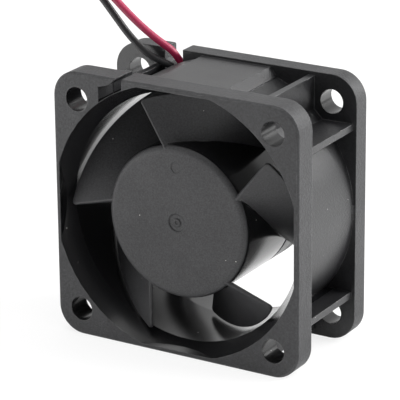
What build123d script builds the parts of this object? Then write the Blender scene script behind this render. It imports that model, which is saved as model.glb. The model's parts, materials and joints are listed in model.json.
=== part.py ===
from build123d import *
from math import cos, degrees, pi, radians, sin, sqrt, tan
import os

os.makedirs("parts", exist_ok=True)

# Cooling fan, 40 mm square and 20 mm deep, standing on its lower edge.
# Millimetres. The air goes in at the front, which faces -Y, and +Z is up.
# The origin is the middle of the bottom edge, so the fan's axis lies side / 2 above it.
# Depths are measured backwards from the front face, and radii from the fan's axis.

# Frame
side = 40.0
frame_depth = 20.0
corner_radius = 4.0
front_flange = 3.9
rear_flange = 3.2
flange_edge = 0.3
hole_inset = 4.0
hole_radius = 1.8

# Duct, flared at its mouth and widened towards the outlet
bore_inset = 1.4
duct_wall = 1.0
inlet_flare = 1.6
inlet_depth = 3.2
inlet_lip = 0.7
outlet_flare = 0.6
outlet_length = 6.0

# Webs between the flanges, and the pad on top of the duct
web_thickness = 1.0
web_offset = 12.7
web_inset = 0.6
rib_low_inset = 2.1
rib_high_inset = 1.0
rib_high_length = 5.0
saddle_gap = 1.6
pad_left = 5.3
pad_right = 6.0
pad_slope = 1.2
pad_inset = 0.4

# Hooked notch for the leads in the front flange, and the gap in the rear flange.
# Their heights are measured down from the frame's top edge.
notch_left = 12.3
notch_right = 8.4
notch_throat = 1.1
notch_wall = 0.05
notch_eave = 1.65
notch_knee = 10.6
notch_knee_drop = 1.1
notch_hook_drop = 0.2
gap_left = 11.6
gap_right = 8.55
gap_drop = 3.2
trench_depth = 3.9
trench_drop = 1.6

# Motor base behind the impeller, on three struts
base_radius = 11.4
base_depth = 5.4
base_recess = 0.4
base_wall = 1.0
base_floor = 1.4
base_boss_wall = 1.2
base_boss_length = 1.6
foil_margin = 0.4
foil_thickness = 0.1
strut_count = 3
strut_width = 2.2
strut_depth = 3.2
channel_angle = 120.0
channel_width = 2.7
channel_wall = 0.8
channel_depth = 2.2
window_radius = 8.2

# Impeller
hub_front = 0.7
hub_gap = 0.6
hub_face_wall = 1.2
hub_edge = 1.0
boss_radius = 2.9
boss_length = 2.3
shaft_cover = 0.6
tip_gap = 0.4
blade_count = 5
blade_root_angle = 101.0
blade_tip_angle = 109.5
blade_root_sweep_angle = 51.0
blade_tip_sweep_angle = 61.0
blade_root_inset = 0.3
blade_tip_inset = 0.8
blade_rear_inset = 0.2
blade_camber = 0.08
blade_root_thickness = 1.5
blade_tip_thickness = 0.9
blade_edge_share = 0.45
blade_sections = 7
blade_corner = 0.6
blade_edge = 0.2
gate_outer = 1.3
gate_inner = 0.6
gate_dot = 0.3
gate_depth = 0.12
ejector_radius = 0.85
ejector_offset = 8.2
ejector_depth = 0.08

# Rotor inside the hub
hub_wall = 0.9
yoke_wall = 0.7
yoke_inset = 0.7
yoke_corner = 0.6
magnet_thickness = 1.2
magnet_front = 4.4
magnet_inset = 0.9
shaft_radius = 1.5
shaft_reach = 2.6
shaft_chamfer = 0.2

# Bearings, 3 x 6 x 2.5
bearing_radius = 3.0
bearing_width = 2.5
race_wall = 0.45
ball_radius = 0.5
ball_count = 7
ball_play = 0.02
cage_play = 0.1
cage_reach = 0.85
cage_back = 0.3
ball_start_angle = 90.0
shield_thickness = 0.15
shield_gap = 0.12

# Bearing sleeve
sleeve_radius = 3.8
sleeve_shoulder_radius = 2.6
sleeve_lip = 0.2
sleeve_reach = 0.6
front_bearing_depth = 5.2
rear_bearing_inset = 1.3

# Preload spring, washer and retaining clip
spring_radius = 1.8
spring_wire = 0.28
spring_turns = 2.5
washer_radius = 2.0
washer_thickness = 0.2
clip_radius = 2.5
clip_thickness = 0.4
clip_groove_radius = 1.15
clip_mouth = 1.7
clip_relief = 0.45

# Stator
pole_count = 4
air_gap = 0.35
core_front = 6.3
core_inset = 2.9
core_ring_wall = 1.0
arm_width = 2.4
shoe_thickness = 0.8
shoe_angle = 70.0
insulator_plate = 0.5
insulator_liner = 0.3
insulator_rim = 0.45
insulator_rim_height = 1.2
coil_build = 1.3
post_radius = 0.7
pin_ring_radius = 6.1
pin_radius = 0.3
pin_proud = 0.7

# Circuit board and what it carries
board_inset = 0.7
board_thickness = 0.8
board_edge_gap = 0.2
sensor_angle = 45.0
sensor_width = 3.0
sensor_length = 1.6
sensor_height = 1.2
chip_angle = -90.0
chip_ring_radius = 7.4
chip_width = 4.0
chip_length = 3.2
chip_height = 1.2
chip_leg_width = 0.4
chip_leg_length = 0.7
chip_leg_thickness = 0.2
capacitor_angle = 10.0
capacitor_width = 2.0
capacitor_length = 1.25
capacitor_height = 1.1
resistor_angles = (-160.0, 175.0)
resistor_width = 1.6
resistor_length = 0.8
resistor_height = 0.45
small_part_radius = 7.6

# Leads: soldered to the board, held in the channel, then free
lead_radius = 0.55
lead_offset = 0.65
lead_cover = 1.35
lead_stand = 0.7
solder_ring_radius = 7.2
solder_radius = 0.55
solder_height = 0.9
tip_radius = 0.35
tip_length = 5.0
window_bend = 1.4
trench_bend = 0.2
arc_share = 0.45

# Where each lead comes through the gap, and where its free stretch starts: its place to the
# left of the fan's middle, in front of the rear flange and below the frame's top edge
red_gap = (10.3, -0.1, 0.4)
red_exit_gap = (11.8, 0.6, -0.83)
black_gap = (10.35, 0.1, 2.65)
black_exit_gap = (12.2, 0.8, 1.8)

# Each lead's free route, down to its stored coil
red_route = [
    (-13.31, 5.5, 42.06),
    (-16.4, 5.0, 44.6),
    (-20.0, 4.8, 47.8),
    (-24.3, 4.6, 51.2),
    (-29.8, 4.3, 53.6),
    (-36.2, 3.9, 53.9),
    (-42.4, 3.3, 51.4),
    (-47.4, 2.5, 46.6),
    (-50.6, 1.9, 40.2),
    (-52.1, 1.7, 32.8),
    (-52.4, 1.9, 25.0),
    (-52.2, 2.2, 18.0),
    (-52.0, 2.4, 12.6),
    (-51.9, 2.2, 9.2),
    (-51.6, 1.2, 6.8),
    (-51.3, -0.64, 4.96),
    (-51.1, -3.04, 3.98),
]
black_route = [
    (-13.75, 5.5, 38.9),
    (-16.57, 5.2, 41.3),
    (-19.0, 5.0, 44.2),
    (-21.9, 4.7, 47.7),
    (-26.0, 4.5, 50.9),
    (-31.3, 4.2, 52.4),
    (-37.0, 3.8, 51.6),
    (-42.2, 3.3, 48.4),
    (-46.2, 2.8, 43.6),
    (-48.9, 2.5, 37.7),
    (-50.3, 2.5, 30.8),
    (-50.9, 2.8, 23.6),
    (-51.1, 3.1, 16.4),
    (-51.1, 3.3, 10.6),
    (-51.1, 3.2, 6.9),
    (-51.1, 2.2, 4.5),
    (-51.1, 0.36, 2.66),
    (-51.1, -2.04, 1.68),
]

# Stored lengths: each lead is wound three turns wide and two high
coil_x = -44.5
coil_y = -6.0
coil_outer_turn = 6.6
coil_rows = 3
coil_layers = 2
coil_slack = 0.1
red_tail_angle = 258.0
black_tail_angle = 240.0
tail_bend = 1.0
tail_slope = 0.9
tail_level = 2.0

# Clearances
fit = 0.02

# Sizes that follow from the ones above
front = -frame_depth / 2
axis_height = side / 2
hole_spacing = side - 2 * hole_inset
bore_radius = side / 2 - bore_inset
inlet_radius = bore_radius + inlet_flare
outlet_radius = bore_radius + outlet_flare
duct_radius = bore_radius + duct_wall
web_edge = side / 2 - web_inset
gap_floor = side / 2 - gap_drop
trench_floor = side / 2 - trench_drop
base_rear = frame_depth - base_recess
base_front = base_rear - base_depth
floor_front = base_rear - base_floor
hub_radius = base_radius
hub_rear = base_front - hub_gap
boss_rear = hub_front + hub_face_wall + boss_length
yoke_radius = hub_radius - hub_wall
yoke_rear = hub_rear - yoke_inset
magnet_rear = hub_rear - magnet_inset
magnet_radius = yoke_radius - yoke_wall - fit
stator_radius = magnet_radius - magnet_thickness - air_gap
shaft_rear = base_front + shaft_reach
blade_tip_radius = bore_radius - tip_gap
blade_rear = hub_rear - blade_rear_inset
ball_circle = (bearing_radius + shaft_radius) / 2
ball_step = 360 / ball_count
inner_race_radius = shaft_radius + race_wall
outer_race_radius = bearing_radius - race_wall
groove_radius = ball_radius + ball_play
rear_bearing_depth = base_front - rear_bearing_inset
sleeve_front = front_bearing_depth - sleeve_lip
sleeve_rear = floor_front + sleeve_reach
core_rear = base_front - core_inset
core_length = core_rear - core_front
board_front = base_front + board_inset
board_rear = board_front + board_thickness
lead_depth = base_rear - lead_cover
washer_front = rear_bearing_depth + bearing_width
clip_front = washer_front + washer_thickness

fan_axis = Axis((0, front, axis_height), (0, 1, 0))
half_section = Plane(origin=(0, front, axis_height), x_dir=(1, 0, 0), z_dir=(0, 0, 1))


def station(depth, turn=0.0):
    """Plane across the fan's axis, facing the front, with its X turned about the axis."""
    across = (cos(radians(turn)), 0, sin(radians(turn)))
    return Plane(origin=(0, front + depth, axis_height), x_dir=across, z_dir=(0, -1, 0))


def ring_section(inner, outer, start, end):
    """Half section of a turned ring, from its radii and its depths."""
    with BuildSketch(half_section) as profile:
        with Locations(((inner + outer) / 2, (start + end) / 2)):
            Rectangle(outer - inner, end - start)
    return profile.sketch


def on_axis(radius, angle, depth):
    """Point at a radius and an angle about the fan's axis, seen from the front."""
    across = radius * cos(radians(angle))
    up = radius * sin(radians(angle))
    return Vector(across, front + depth, axis_height + up)


# The space that the air goes through: a flared mouth, a straight bore and a widened outlet.
# Flats cut the mouth off inside the frame's four sides, which leaves thin lips there.
with BuildPart() as air_path:
    with BuildSketch(half_section):
        with BuildLine():
            mouth = Line((0, 0), (inlet_radius, 0))
            flare = Line(mouth @ 1, (bore_radius, inlet_depth))
            bore = Line(flare @ 1, (bore_radius, frame_depth - outlet_length))
            outlet = Line(bore @ 1, (outlet_radius, frame_depth))
            Polyline(outlet @ 1, (0, frame_depth), (0, 0))
        make_face()
    revolve(axis=fan_axis)
    with BuildSketch(station(0)):
        Rectangle(side - 2 * inlet_lip, side - 2 * inlet_lip)
    extrude(amount=-frame_depth, mode=Mode.INTERSECT)

with BuildPart() as housing:
    for flange_front, flange_thickness in (
        (0, front_flange),
        (frame_depth - rear_flange, rear_flange),
    ):
        with BuildSketch(station(flange_front)):
            RectangleRounded(side, side, corner_radius)
        extrude(amount=-flange_thickness)
    outer_rims = housing.faces().filter_by(Axis.Y).sort_by(Axis.Y)
    chamfer(outer_rims[0].edges() + outer_rims[-1].edges(), flange_edge)

    # Duct and its eight webs, which stop short of the frame's outline
    web_length = web_edge - bore_radius * sin(radians(45))
    web_middle = web_edge - web_length / 2
    with BuildSketch(station(front_flange)):
        Circle(duct_radius)
        with PolarLocations(0, 4):
            with Locations((web_offset, web_middle)):
                Rectangle(web_thickness, web_length)
        with PolarLocations(0, 3, start_angle=180, angular_range=270):
            with Locations((web_middle, web_offset)):
                Rectangle(web_length, web_thickness)
        with BuildLine():
            Polyline(
                (-pad_left, duct_radius / 2),
                (-pad_left, side / 2 - pad_inset),
                (pad_right, side / 2 - pad_inset),
                (pad_right + pad_slope, side / 2 - pad_inset - pad_slope),
                (pad_right + pad_slope, duct_radius / 2),
                close=True,
            )
        make_face()
    extrude(amount=-(frame_depth - front_flange - rear_flange))

    # Where the leads come out, the web is cut down to a rib that is lower behind than in
    # front, and the duct carries a raised saddle from the notch's floor to the rear gap
    rib_foot = bore_radius * sin(radians(45))
    for rib_inset, rib_length in (
        (rib_low_inset, frame_depth - front_flange - rear_flange),
        (rib_high_inset, rib_high_length),
    ):
        rib_top = web_edge - rib_inset
        with BuildSketch(station(front_flange)):
            with Locations((-web_offset, (rib_top + rib_foot) / 2)):
                Rectangle(web_thickness, rib_top - rib_foot)
        extrude(amount=-rib_length)
    notch_floor = inlet_radius + notch_wall
    with BuildSketch(station(front_flange)):
        Circle(notch_floor)
        with Locations((-(web_offset + pad_left) / 2, side / 2)):
            Rectangle(web_offset - pad_left, side / 2, mode=Mode.INTERSECT)
    extrude(amount=-(frame_depth - rear_flange - saddle_gap - front_flange))
    add(air_path.part, mode=Mode.SUBTRACT)

    # Motor base: a cup that is open to the front, with a boss for the bearing sleeve
    with BuildSketch(station(base_front)):
        Circle(base_radius)
    extrude(amount=-(base_rear - base_front))
    with BuildSketch(station(base_front)):
        Circle(base_radius - base_wall)
    extrude(amount=-(floor_front - base_front), mode=Mode.SUBTRACT)
    with BuildSketch(station(floor_front - base_boss_length)):
        Circle(sleeve_radius + base_boss_wall)
    extrude(amount=-base_boss_length)

    # Struts from the base to the duct, the one with the leads' channel wider
    strut_overlap = base_wall / 2
    strut_length = outlet_radius - base_radius + 2 * strut_overlap
    strut_middle = base_radius - strut_overlap + strut_length / 2
    with BuildSketch(station(base_rear - strut_depth)):
        with PolarLocations(strut_middle, strut_count):
            Rectangle(strut_length, strut_width)
        with PolarLocations(strut_middle, 1, start_angle=channel_angle):
            Rectangle(strut_length, channel_width + 2 * channel_wall)
    extrude(amount=-strut_depth)

    # Channel for the leads, from a window in the base's floor out through the duct's edge
    channel_length = side / 2 - window_radius
    with BuildSketch(station(base_rear - channel_depth, channel_angle)):
        with Locations((window_radius + channel_length / 2, 0)):
            Rectangle(channel_length, channel_width)
    extrude(amount=-(channel_depth + base_floor), mode=Mode.SUBTRACT)

    # Hole for the sleeve, and the screw holes through both flanges
    with BuildSketch(station(floor_front - base_boss_length)):
        Circle(sleeve_radius + fit)
    extrude(amount=-(base_boss_length + base_floor), mode=Mode.SUBTRACT)
    with BuildSketch(station(0)):
        with GridLocations(hole_spacing, hole_spacing, 2, 2):
            Circle(hole_radius)
    extrude(amount=-frame_depth, mode=Mode.SUBTRACT)

    # Notch in the front flange: a pocket under a hook, with a narrow throat above
    with BuildSketch(station(0)):
        with BuildLine():
            floor_line = RadiusArc(
                (-notch_left, sqrt(notch_floor**2 - notch_left**2)),
                (-notch_right, sqrt(notch_floor**2 - notch_right**2)),
                notch_floor,
            )
            Polyline(
                floor_line @ 1,
                (-notch_right, side / 2 + flange_edge),
                (-notch_right - notch_throat, side / 2 + flange_edge),
                (-notch_right - notch_throat, side / 2 - notch_hook_drop),
                (-notch_knee, side / 2 - notch_knee_drop),
                (-notch_left, side / 2 - notch_eave),
                floor_line @ 0,
            )
        make_face()
    extrude(amount=-front_flange, mode=Mode.SUBTRACT)

    # Gap in the rear flange, where the leads come forward
    gap_height = side / 2 - gap_floor
    with BuildSketch(station(frame_depth - rear_flange)):
        with Locations((-(gap_left + gap_right) / 2, gap_floor + gap_height / 2)):
            Rectangle(gap_left - gap_right, gap_height)
    extrude(amount=-rear_flange, mode=Mode.SUBTRACT)
    with BuildSketch(station(frame_depth - trench_depth, channel_angle)):
        with Locations((trench_floor + gap_height / 2, 0)):
            Rectangle(gap_height, channel_width)
    extrude(amount=-trench_depth, mode=Mode.SUBTRACT)
housing.part.label = "housing"
export_step(housing.part, "parts/housing.step")


def blade_point(share, radius_share):
    """Point of the blade's middle surface, from the leading edge (0) to the trailing edge (1)."""
    root = hub_radius - hub_face_wall
    tip = blade_tip_radius + 2 * blade_tip_thickness
    radius = root + (tip - root) * radius_share
    across = (radius - hub_radius) / (blade_tip_radius - hub_radius)
    lead = blade_root_angle + (blade_tip_angle - blade_root_angle) * across
    sweep = blade_root_sweep_angle + (blade_tip_sweep_angle - blade_root_sweep_angle) * across
    start = hub_front + blade_root_inset + (blade_tip_inset - blade_root_inset) * across
    run = (1 - blade_camber) * share + blade_camber * share**2
    return on_axis(radius, lead - sweep * share, start + (blade_rear - start) * run)


def blade_plane(share):
    """Plane across the blade at one share of its chord, with X along its span."""
    root = blade_point(share, 0)
    span = blade_point(share, 1) - root
    step = 0.01
    chord = blade_point(share + step, 0.5) - blade_point(share - step, 0.5)
    return Plane(origin=root, x_dir=span, z_dir=chord - span * (chord.dot(span) / span.dot(span)))


# One blade, lofted through sections along its chord. The sections are thickest near the
# middle of the chord and at the hub, and thin out towards the edges and the tip.
with BuildPart() as blade:
    for index in range(blade_sections):
        chord_share = index / (blade_sections - 1)
        fullness = blade_edge_share + (1 - blade_edge_share) * sin(pi * chord_share)
        span_length = (blade_point(chord_share, 1) - blade_point(chord_share, 0)).length
        with BuildSketch(blade_plane(chord_share)):
            with BuildLine():
                Polyline(
                    (0, -fullness * blade_root_thickness / 2),
                    (span_length, -fullness * blade_tip_thickness / 2),
                    (span_length, fullness * blade_tip_thickness / 2),
                    (0, fullness * blade_root_thickness / 2),
                    close=True,
                )
            make_face()
    loft()
    with BuildSketch(station(0)):
        Circle(blade_tip_radius)
        Circle(hub_radius - hub_face_wall / 2, mode=Mode.SUBTRACT)
    extrude(amount=-frame_depth, mode=Mode.INTERSECT)
    fillet(blade.edges().sort_by(SortBy.LENGTH)[:2], blade_corner)
    blade_span = blade_tip_radius - hub_radius
    span_edges = [edge for edge in blade.edges() if abs(edge.length / blade_span - 1) < 1 / 2]
    fillet(span_edges, blade_edge)

with BuildPart() as impeller:
    with BuildSketch(station(hub_front)):
        Circle(hub_radius)
    extrude(amount=-(hub_rear - hub_front))
    fillet(impeller.faces().sort_by(Axis.Y)[0].edges(), hub_edge)
    for index in range(blade_count):
        add(blade.part.rotate(fan_axis, index * 360 / blade_count))

    # Cup for the steel yoke, with a boss that holds the shaft
    with BuildSketch(station(hub_front + hub_face_wall)):
        Circle(yoke_radius + fit)
    extrude(amount=-(hub_rear - hub_front - hub_face_wall), mode=Mode.SUBTRACT)
    with BuildSketch(station(hub_front + hub_face_wall)):
        Circle(boss_radius)
    extrude(amount=-(boss_rear - hub_front - hub_face_wall))
    with BuildSketch(station(hub_front + shaft_cover)):
        Circle(shaft_radius + fit)
    extrude(amount=-(boss_rear - hub_front - shaft_cover), mode=Mode.SUBTRACT)

    # Gate mark in the middle of the face, and an ejector mark above it
    with BuildSketch(station(hub_front)):
        Circle(gate_outer)
        Circle(gate_inner, mode=Mode.SUBTRACT)
        Circle(gate_dot)
    extrude(amount=-gate_depth, mode=Mode.SUBTRACT)
    with BuildSketch(station(hub_front)):
        with Locations((0, ejector_offset)):
            Circle(ejector_radius)
    extrude(amount=-ejector_depth, mode=Mode.SUBTRACT)
impeller.part.label = "impeller"
export_step(impeller.part, "parts/impeller.step")

# Deep-drawn steel cup that carries the magnet inside the hub
with BuildPart() as rotor_yoke:
    yoke_front = hub_front + hub_face_wall
    with BuildSketch(station(yoke_front)):
        Circle(yoke_radius)
    extrude(amount=-(yoke_rear - yoke_front))
    fillet(rotor_yoke.faces().sort_by(Axis.Y)[0].edges(), yoke_corner)
    with BuildSketch(station(yoke_front + yoke_wall)):
        Circle(yoke_radius - yoke_wall)
    extrude(amount=-(yoke_rear - yoke_front - yoke_wall), mode=Mode.SUBTRACT)
    with BuildSketch(station(yoke_front)):
        Circle(boss_radius + fit)
    extrude(amount=-yoke_wall, mode=Mode.SUBTRACT)
rotor_yoke.part.label = "rotor_yoke"
export_step(rotor_yoke.part, "parts/rotor_yoke.step")

with BuildPart() as rotor_magnet:
    revolve(
        ring_section(magnet_radius - magnet_thickness, magnet_radius, magnet_front, magnet_rear),
        axis=fan_axis,
    )
rotor_magnet.part.label = "rotor_magnet"
export_step(rotor_magnet.part, "parts/rotor_magnet.step")

with BuildPart() as shaft:
    with BuildSketch(station(hub_front + shaft_cover)):
        Circle(shaft_radius)
    extrude(amount=-(shaft_rear - hub_front - shaft_cover))
    chamfer(shaft.faces().sort_by(Axis.Y)[-1].edges(), shaft_chamfer)
    revolve(
        ring_section(clip_groove_radius, shaft_radius, clip_front, clip_front + clip_thickness),
        axis=fan_axis,
        mode=Mode.SUBTRACT,
    )
shaft.part.label = "shaft"
export_step(shaft.part, "parts/shaft.step")

# Blank foil disc, stuck over the hole in the base to keep dust out of the rear bearing
with BuildPart() as foil_disc:
    with BuildSketch(station(base_rear)):
        Circle(window_radius - foil_margin)
    extrude(amount=-foil_thickness)
foil_disc.part.label = "foil_disc"
export_step(foil_disc.part, "parts/foil_disc.step")

# Brass sleeve that holds both bearings, with a shoulder between them
with BuildPart() as bearing_sleeve:
    shoulder_front = front_bearing_depth + bearing_width
    revolve(
        ring_section(bearing_radius + fit, sleeve_radius, sleeve_front, sleeve_rear),
        axis=fan_axis,
    )
    revolve(
        ring_section(sleeve_shoulder_radius, sleeve_radius, shoulder_front, rear_bearing_depth),
        axis=fan_axis,
    )
bearing_sleeve.part.label = "bearing_sleeve"
export_step(bearing_sleeve.part, "parts/bearing_sleeve.step")

def ball_plane(index, depth):
    """Plane at the middle of one ball, facing away from the axis."""
    angle = ball_start_angle + index * ball_step
    centre = on_axis(ball_circle, angle, depth)
    return Plane(origin=centre, z_dir=centre - on_axis(0, angle, depth))


for place, bearing_front in (("front", front_bearing_depth), ("rear", rear_bearing_depth)):
    bearing_rear = bearing_front + bearing_width
    bearing_middle = bearing_front + bearing_width / 2

    # Path of the balls' centres, and the groove that they run in
    with BuildPart() as ball_groove:
        with BuildSketch(half_section):
            with Locations((ball_circle, bearing_middle)):
                Circle(groove_radius)
        revolve(axis=fan_axis)

    with BuildPart() as outer_ring:
        revolve(
            ring_section(outer_race_radius, bearing_radius, bearing_front, bearing_rear),
            axis=fan_axis,
        )
        add(ball_groove.part, mode=Mode.SUBTRACT)
    outer_ring.part.label = f"{place}_bearing_outer_ring"
    export_step(outer_ring.part, f"parts/{place}_bearing_outer_ring.step")

    with BuildPart() as inner_ring:
        revolve(
            ring_section(shaft_radius + fit / 2, inner_race_radius, bearing_front, bearing_rear),
            axis=fan_axis,
        )
        add(ball_groove.part, mode=Mode.SUBTRACT)
    inner_ring.part.label = f"{place}_bearing_inner_ring"
    export_step(inner_ring.part, f"parts/{place}_bearing_inner_ring.step")

    with BuildPart() as balls:
        for index in range(ball_count):
            with Locations(ball_plane(index, bearing_middle)):
                Sphere(ball_radius)
    balls.part.label = f"{place}_bearing_balls"
    export_step(balls.part, f"parts/{place}_bearing_balls.step")

    # Crown cage: a ring between the races, with a round pocket for each ball
    with BuildPart() as cage:
        revolve(
            ring_section(
                inner_race_radius + cage_play,
                outer_race_radius - cage_play,
                bearing_middle - cage_back,
                bearing_middle + cage_reach,
            ),
            axis=fan_axis,
        )
        for index in range(ball_count):
            with Locations(ball_plane(index, bearing_middle)):
                Sphere(groove_radius, mode=Mode.SUBTRACT)
    cage.part.label = f"{place}_bearing_cage"
    export_step(cage.part, f"parts/{place}_bearing_cage.step")

    with BuildPart() as shields:
        for shield_front in (bearing_front, bearing_rear - shield_thickness):
            revolve(
                ring_section(
                    inner_race_radius + shield_gap,
                    outer_race_radius,
                    shield_front,
                    shield_front + shield_thickness,
                ),
                axis=fan_axis,
            )
    shields.part.label = f"{place}_bearing_shields"
    export_step(shields.part, f"parts/{place}_bearing_shields.step")

# Spring between the hub's boss and the front bearing's inner ring
spring_height = front_bearing_depth - boss_rear
with BuildPart() as preload_spring:
    with BuildLine():
        coil_line = Helix(
            pitch=(spring_height - spring_wire) / spring_turns,
            height=spring_height - spring_wire,
            radius=spring_radius,
            center=(0, front + boss_rear + spring_wire / 2, axis_height),
            direction=(0, 1, 0),
        )
    with BuildSketch(Plane(origin=coil_line @ 0, z_dir=coil_line % 0)):
        Circle(spring_wire / 2)
    sweep(path=coil_line)
preload_spring.part.label = "preload_spring"
export_step(preload_spring.part, "parts/preload_spring.step")

with BuildPart() as washer:
    revolve(
        ring_section(shaft_radius + fit, washer_radius, washer_front, clip_front),
        axis=fan_axis,
    )
washer.part.label = "washer"
export_step(washer.part, "parts/washer.step")

# Clip in the shaft's groove, open at one side and eased between its three lobes
with BuildPart() as retaining_clip:
    with BuildSketch(station(clip_front)):
        Circle(clip_radius)
        Circle(clip_groove_radius + fit, mode=Mode.SUBTRACT)
        with PolarLocations(clip_groove_radius + clip_relief, 2, start_angle=0):
            Circle(clip_relief, mode=Mode.SUBTRACT)
        with Locations((0, -clip_radius)):
            Rectangle(clip_mouth, 2 * clip_radius, mode=Mode.SUBTRACT)
    extrude(amount=-clip_thickness)
retaining_clip.part.label = "retaining_clip"
export_step(retaining_clip.part, "parts/retaining_clip.step")

# Stator core: four poles with wide shoes on a ring round the sleeve
ring_radius = sleeve_radius + core_ring_wall
arm_length = stator_radius - shoe_thickness / 2 - sleeve_radius - core_ring_wall / 2
arm_middle = sleeve_radius + core_ring_wall / 2 + arm_length / 2
with BuildPart() as stator_core:
    with BuildSketch(station(core_front)):
        Circle(stator_radius)
        Circle(stator_radius - shoe_thickness, mode=Mode.SUBTRACT)
        slot_angle = 360 / pole_count - shoe_angle
        slot_width = 2 * stator_radius * sin(radians(slot_angle / 2))
        with PolarLocations(stator_radius, pole_count, start_angle=180 / pole_count):
            Rectangle(3 * shoe_thickness, slot_width, mode=Mode.SUBTRACT)
        Circle(ring_radius)
        with PolarLocations(arm_middle, pole_count):
            Rectangle(arm_length, arm_width)
        Circle(sleeve_radius + fit, mode=Mode.SUBTRACT)
    extrude(amount=-core_length)
stator_core.part.label = "stator_core"
export_step(stator_core.part, "parts/stator_core.step")

# Insulators: one plate over each end of the core, with liners that reach half way
# through it along the arms, and rims that keep the windings in place
window_start = ring_radius + fit
window_end = stator_radius - shoe_thickness - fit
liner_length = window_end - window_start
liner_middle = (window_start + window_end) / 2
rim_inner = ring_radius - insulator_rim
rim_outer = window_end + insulator_rim
for place, plate_depth, forwards in (("front", core_front, 1), ("rear", core_rear, -1)):
    with BuildPart() as insulator:
        with BuildSketch(station(plate_depth)):
            Circle(ring_radius)
            with PolarLocations(arm_middle, pole_count):
                Rectangle(arm_length, arm_width + 2 * insulator_liner)
            with PolarLocations(pin_ring_radius / 2, pole_count, start_angle=180 / pole_count):
                Rectangle(pin_ring_radius, 2 * post_radius)
            Circle(sleeve_radius + fit, mode=Mode.SUBTRACT)
        extrude(amount=forwards * insulator_plate)
        with BuildSketch(station(plate_depth)):
            with PolarLocations(liner_middle, pole_count):
                Rectangle(liner_length, arm_width + 2 * insulator_liner)
                Rectangle(liner_length, arm_width + 2 * fit, mode=Mode.SUBTRACT)
            Circle(window_end, mode=Mode.INTERSECT)
        extrude(amount=-forwards * core_length / 2)
        with BuildSketch(station(plate_depth)):
            Circle(ring_radius)
            Circle(rim_inner, mode=Mode.SUBTRACT)
            with PolarLocations(rim_outer - insulator_rim / 2, pole_count):
                Rectangle(insulator_rim, 2 * arm_width)
        extrude(amount=forwards * (insulator_plate + insulator_rim_height))
        if place == "rear":
            with BuildSketch(station(plate_depth)):
                with PolarLocations(pin_ring_radius, pole_count, start_angle=180 / pole_count):
                    Circle(post_radius)
            extrude(amount=-(board_front - plate_depth))
            with BuildSketch(station(plate_depth)):
                with PolarLocations(pin_ring_radius, pole_count, start_angle=180 / pole_count):
                    Circle(pin_radius + fit)
            extrude(amount=-(board_front - plate_depth), mode=Mode.SUBTRACT)
    insulator.part.label = f"{place}_insulator"
    export_step(insulator.part, f"parts/{place}_insulator.step")

# Windings: one bundle of wire round each arm, over the liners and the plates
coil_inner_width = arm_width + 2 * insulator_liner + 2 * fit
coil_inner_height = core_length + 2 * insulator_plate + 2 * fit
coil_start = ring_radius + 2 * fit
coil_length = window_end - coil_start - fit
with BuildPart() as windings:
    for index in range(pole_count):
        turn = radians(index * 360 / pole_count)
        outwards = (cos(turn), 0, sin(turn))
        centre = on_axis(coil_start, degrees(turn), core_front + core_length / 2)
        with BuildSketch(Plane(origin=centre, x_dir=(0, 1, 0), z_dir=outwards)):
            RectangleRounded(
                coil_inner_height + 2 * coil_build,
                coil_inner_width + 2 * coil_build,
                coil_build,
            )
            Rectangle(coil_inner_height, coil_inner_width, mode=Mode.SUBTRACT)
        extrude(amount=coil_length)
    with BuildSketch(station(0)):
        Circle(window_end)
    extrude(amount=-frame_depth, mode=Mode.INTERSECT)
windings.part.label = "windings"
export_step(windings.part, "parts/windings.step")

with BuildPart() as terminal_pins:
    with BuildSketch(station(core_rear + insulator_plate)):
        with PolarLocations(pin_ring_radius, pole_count, start_angle=180 / pole_count):
            Circle(pin_radius)
    extrude(amount=-(board_rear + pin_proud - core_rear - insulator_plate))
terminal_pins.part.label = "terminal_pins"
export_step(terminal_pins.part, "parts/terminal_pins.step")

with BuildPart() as circuit_board:
    with BuildSketch(station(board_front)):
        Circle(base_radius - base_wall - board_edge_gap)
        Circle(sleeve_radius + board_edge_gap, mode=Mode.SUBTRACT)
        with PolarLocations(pin_ring_radius, pole_count, start_angle=180 / pole_count):
            Circle(pin_radius + fit, mode=Mode.SUBTRACT)
    extrude(amount=-board_thickness)
circuit_board.part.label = "circuit_board"
export_step(circuit_board.part, "parts/circuit_board.step")

# Magnetic sensor on the board's front, under the magnet's edge
with BuildPart() as position_sensor:
    sensor_circle = magnet_radius - magnet_thickness / 2
    with BuildSketch(station(board_front, sensor_angle)):
        with Locations((sensor_circle, 0)):
            Rectangle(sensor_length, sensor_width)
    extrude(amount=sensor_height)
position_sensor.part.label = "position_sensor"
export_step(position_sensor.part, "parts/position_sensor.step")

# Driver chip on the board's back, with three gull legs at each side
with BuildPart() as driver_chip:
    with BuildSketch(station(board_rear, chip_angle)):
        with Locations((chip_ring_radius, 0)):
            Rectangle(chip_length, chip_width)
    extrude(amount=-chip_height)
    with BuildSketch(station(board_rear, chip_angle)):
        with Locations((chip_ring_radius, 0)):
            with GridLocations(chip_length + chip_leg_length, chip_width / 3, 2, 3):
                Rectangle(chip_leg_length, chip_leg_width)
    extrude(amount=-chip_leg_thickness)
driver_chip.part.label = "driver_chip"
export_step(driver_chip.part, "parts/driver_chip.step")

with BuildPart() as capacitor:
    with BuildSketch(station(board_rear, capacitor_angle)):
        with Locations((small_part_radius, 0)):
            Rectangle(capacitor_length, capacitor_width)
    extrude(amount=-capacitor_height)
capacitor.part.label = "capacitor"
export_step(capacitor.part, "parts/capacitor.step")

with BuildPart() as resistors:
    for resistor_angle in resistor_angles:
        with BuildSketch(station(board_rear, resistor_angle)):
            with Locations((small_part_radius, 0)):
                Rectangle(resistor_length, resistor_width)
        extrude(amount=-resistor_height)
resistors.part.label = "resistors"
export_step(resistors.part, "parts/resistors.step")

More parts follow.
